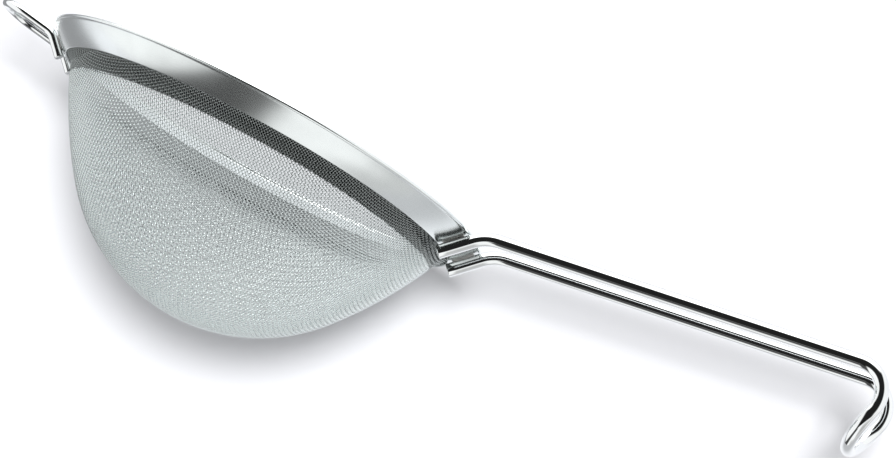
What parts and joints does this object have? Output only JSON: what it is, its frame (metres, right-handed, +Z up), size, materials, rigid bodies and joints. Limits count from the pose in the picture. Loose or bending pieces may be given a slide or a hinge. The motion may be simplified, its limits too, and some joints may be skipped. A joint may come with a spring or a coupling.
{
  "type": "chinois_strainer",
  "caption": "Round stainless steel wire-mesh bowl strainer with a flared rim band, a bent double-rod handle ending in a hook, and a wire loop that rests on a pot",
  "frame": {"origin": "centre of the mouth, in the plane of the rim's top edge", "axes": "+Z up out of the mouth as the strainer is used, +X along the handle towards its hook, -X towards the pot-rest loop; symmetric about the XZ plane"},
  "size_m": [0.4107, 0.2, 0.1122],
  "materials": {
    "polished_sheet": "bright polished stainless steel sheet",
    "woven_wire": "plain-woven bright stainless steel wire",
    "polished_rod": "mirror-polished stainless steel rod and wire",
    "weld_seam": "polished weld seam"
  },
  "bodies": {
    "root": {"rim_band": "polished_sheet", "clamp_ring": "polished_sheet", "mesh_bowl": "woven_wire", "handle_rod": "polished_rod", "rest_loop": "polished_rod", "handle_weld_near": "weld_seam", "handle_weld_far": "weld_seam", "loop_weld_near": "weld_seam", "loop_weld_far": "weld_seam"}
  },
  "joints": []
}
